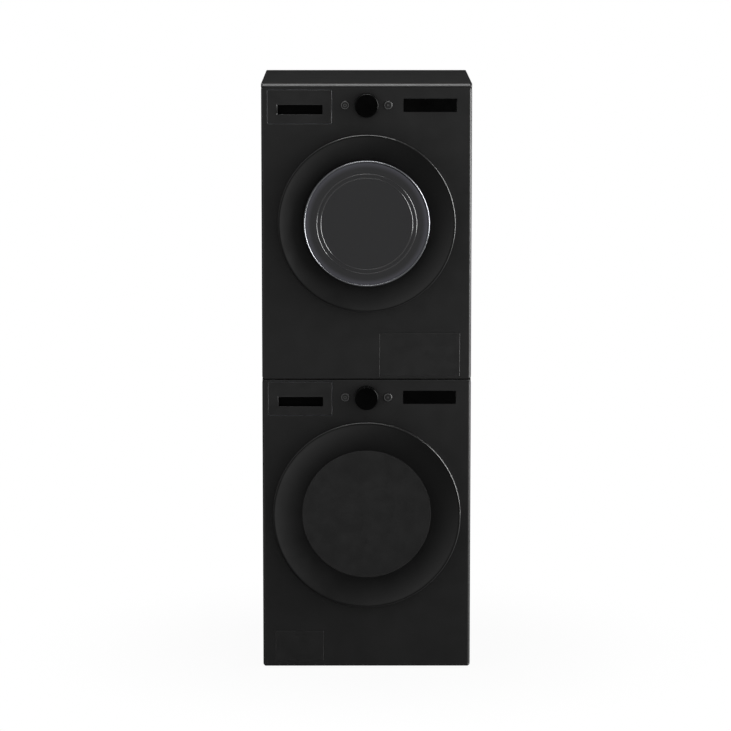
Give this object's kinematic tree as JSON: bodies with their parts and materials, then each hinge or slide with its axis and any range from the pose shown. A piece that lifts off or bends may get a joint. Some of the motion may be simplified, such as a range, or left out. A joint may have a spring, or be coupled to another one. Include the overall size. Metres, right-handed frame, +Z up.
{
  "type": "washer dryer stack",
  "caption": "Black front-loading washer with a matching heat-pump dryer stacked on it; doors, drawers, knobs, buttons, flaps and drums all move.",
  "frame": {"origin": "centre of the bounding box's footprint, on the floor under the feet", "axes": "+Z up, -Y out of the doors, +X to the right as seen from the front"},
  "size_m": [0.6, 0.6712, 1.7],
  "materials": {
    "black_painted_steel": "satin black baked enamel on sheet steel",
    "black_moulded_plastic": "satin black moulded ABS",
    "black_fascia_plastic": "satin black moulded ABS",
    "piano_black": "polished black",
    "tinted_glass": "black-tinted polished glass",
    "clear_glass": "pressed clear glass",
    "chrome_trim": "dark chrome plating",
    "stainless": "brushed stainless steel",
    "zinc_steel": "zinc-plated steel",
    "pale_plastic": "moulded polypropylene",
    "grey_plastic": "moulded polypropylene",
    "grey_rubber": "moulded EPDM",
    "black_rubber": "moulded rubber",
    "cast_weight": "as cast",
    "aluminium": "cast and folded aluminium",
    "copper_windings": "enamelled copper wire",
    "circuit_board": "green laminate"
  },
  "bodies": {
    "root": {"leveling_feet": "black_rubber", "rear_covers": "black_painted_steel", "display_windows": "piano_black", "control_boards": "circuit_board", "door_fittings": "zinc_steel", "stacking_brackets": "zinc_steel", "drawer_housings": "grey_plastic", "washer_cabinet": "black_painted_steel", "washer_top_panel": "black_painted_steel", "washer_front_panel": "black_painted_steel", "washer_base": "black_moulded_plastic", "washer_gasket": "grey_rubber", "washer_springs": "zinc_steel", "washer_damper_cylinders": "black_moulded_plastic", "washer_drain_pump": "pale_plastic", "washer_inlet_valves": "pale_plastic", "dryer_cabinet": "black_painted_steel", "dryer_top_panel": "black_painted_steel", "dryer_front_panel": "black_painted_steel", "dryer_base": "black_moulded_plastic", "dryer_bulkhead": "zinc_steel", "dryer_belt": "black_rubber", "dryer_motor": "zinc_steel", "dryer_heat_pump": "aluminium", "dryer_lint_filter": "grey_plastic"},
    "washer_tub_unit": {"washer_tub": "pale_plastic", "washer_counterweights": "cast_weight", "washer_stator": "copper_windings", "washer_damper_rods": "zinc_steel"},
    "washer_drum_unit": {"washer_drum": "stainless", "washer_lifters": "grey_plastic", "washer_drum_shaft": "aluminium", "washer_rotor": "zinc_steel"},
    "washer_door": {"washer_door_ring": "black_moulded_plastic", "washer_door_disc": "black_fascia_plastic", "washer_door_bowl": "clear_glass", "washer_door_frame": "grey_plastic", "washer_door_hinge": "zinc_steel"},
    "washer_drawer": {"washer_detergent_drawer": "pale_plastic", "washer_drawer_fascia": "black_fascia_plastic"},
    "washer_dial": {"washer_knob": "piano_black"},
    "washer_key_left": {"washer_button_left": "black_fascia_plastic"},
    "washer_key_right": {"washer_button_right": "black_fascia_plastic"},
    "washer_flap": {"washer_filter_flap": "black_fascia_plastic"},
    "washer_filter": {"washer_pump_filter": "grey_plastic"},
    "dryer_drum_unit": {"dryer_drum": "stainless"},
    "dryer_wheel_left": {"dryer_roller_left": "black_rubber"},
    "dryer_wheel_right": {"dryer_roller_right": "black_rubber"},
    "dryer_fan": {"dryer_fan_shaft": "grey_plastic"},
    "dryer_door": {"dryer_door_ring": "black_moulded_plastic", "dryer_door_trim": "chrome_trim", "dryer_door_glass": "tinted_glass", "dryer_door_liner": "grey_plastic", "dryer_door_hinge": "zinc_steel"},
    "dryer_tank": {"dryer_water_tank": "pale_plastic", "dryer_tank_fascia": "black_fascia_plastic"},
    "dryer_dial": {"dryer_knob": "piano_black"},
    "dryer_key_left": {"dryer_button_left": "black_fascia_plastic"},
    "dryer_key_right": {"dryer_button_right": "black_fascia_plastic"},
    "dryer_flap": {"dryer_filter_flap": "black_fascia_plastic"}
  },
  "joints": [
    {"name": "washer_tub_float", "type": "slide", "parent": "root", "child": "washer_tub_unit", "axis": [0, 0, 1], "range_m": [-0.008, 0.008], "stiffness_N_per_m": 20000, "springref_m": 0.01736, "deforming": ["washer_springs", "washer_gasket"]},
    {"name": "washer_drum_spin", "type": "hinge", "parent": "washer_tub_unit", "child": "washer_drum_unit", "pos_m": [0, 0.0176, 0.462], "axis": [0, 1, 0], "continuous": true},
    {"name": "washer_door_swing", "type": "hinge", "parent": "root", "child": "washer_door", "pos_m": [-0.248, -0.3144, 0.462], "axis": [0, 0, -1], "range_deg": [0, 120]},
    {"name": "washer_drawer_slide", "type": "slide", "parent": "root", "child": "washer_drawer", "axis": [0, -1, 0], "range_m": [0, 0.24]},
    {"name": "washer_knob_turn", "type": "hinge", "parent": "root", "child": "washer_dial", "pos_m": [0, -0.2824, 0.798], "axis": [0, 1, 0], "continuous": true},
    {"name": "washer_button_left_press", "type": "slide", "parent": "root", "child": "washer_key_left", "axis": [0, 1, 0], "range_m": [0, 0.0015], "stiffness_N_per_m": 800, "springref_m": -0.001},
    {"name": "washer_button_right_press", "type": "slide", "parent": "root", "child": "washer_key_right", "axis": [0, 1, 0], "range_m": [0, 0.0015], "stiffness_N_per_m": 800, "springref_m": -0.001},
    {"name": "washer_flap_open", "type": "hinge", "parent": "root", "child": "washer_flap", "pos_m": [-0.193, -0.2779, 0.029], "axis": [1, 0, 0], "range_deg": [0, 90]},
    {"name": "washer_pump_filter_turn", "type": "hinge", "parent": "root", "child": "washer_filter", "pos_m": [-0.193, -0.2624, 0.068], "axis": [0, 1, 0], "range_deg": [0, 180]},
    {"name": "dryer_drum_spin", "type": "hinge", "parent": "root", "child": "dryer_drum_unit", "pos_m": [0, -0.0024, 1.304], "axis": [0, 1, 0], "continuous": true},
    {"name": "dryer_roller_left_spin", "type": "hinge", "parent": "root", "child": "dryer_wheel_left", "pos_m": [-0.19624, -0.2004, 1.07013], "axis": [0, 1, 0], "continuous": true},
    {"name": "dryer_roller_right_spin", "type": "hinge", "parent": "root", "child": "dryer_wheel_right", "pos_m": [0.19624, -0.2004, 1.07013], "axis": [0, 1, 0], "continuous": true},
    {"name": "dryer_fan_spin", "type": "hinge", "parent": "root", "child": "dryer_fan", "pos_m": [0.15, 0.1176, 0.928], "axis": [0, 1, 0], "continuous": true},
    {"name": "dryer_door_swing", "type": "hinge", "parent": "root", "child": "dryer_door", "pos_m": [-0.231, -0.3144, 1.304], "axis": [0, 0, -1], "range_deg": [0, 120]},
    {"name": "dryer_tank_slide", "type": "slide", "parent": "root", "child": "dryer_tank", "axis": [0, -1, 0], "range_m": [0, 0.4]},
    {"name": "dryer_knob_turn", "type": "hinge", "parent": "root", "child": "dryer_dial", "pos_m": [0, -0.2824, 1.6377], "axis": [0, 1, 0], "continuous": true},
    {"name": "dryer_button_left_press", "type": "slide", "parent": "root", "child": "dryer_key_left", "axis": [0, 1, 0], "range_m": [0, 0.0015], "stiffness_N_per_m": 800, "springref_m": -0.001},
    {"name": "dryer_button_right_press", "type": "slide", "parent": "root", "child": "dryer_key_right", "axis": [0, 1, 0], "range_m": [0, 0.0015], "stiffness_N_per_m": 800, "springref_m": -0.001},
    {"name": "dryer_flap_open", "type": "hinge", "parent": "root", "child": "dryer_flap", "pos_m": [0.153, -0.2779, 0.865], "axis": [1, 0, 0], "range_deg": [0, 90]}
  ],
  "couplings": [
    {"joint": "dryer_roller_left_spin", "follows": "dryer_drum_spin", "ratio": -11.2},
    {"joint": "dryer_roller_right_spin", "follows": "dryer_drum_spin", "ratio": -11.2},
    {"joint": "dryer_fan_spin", "follows": "dryer_drum_spin", "ratio": 28}
  ]
}
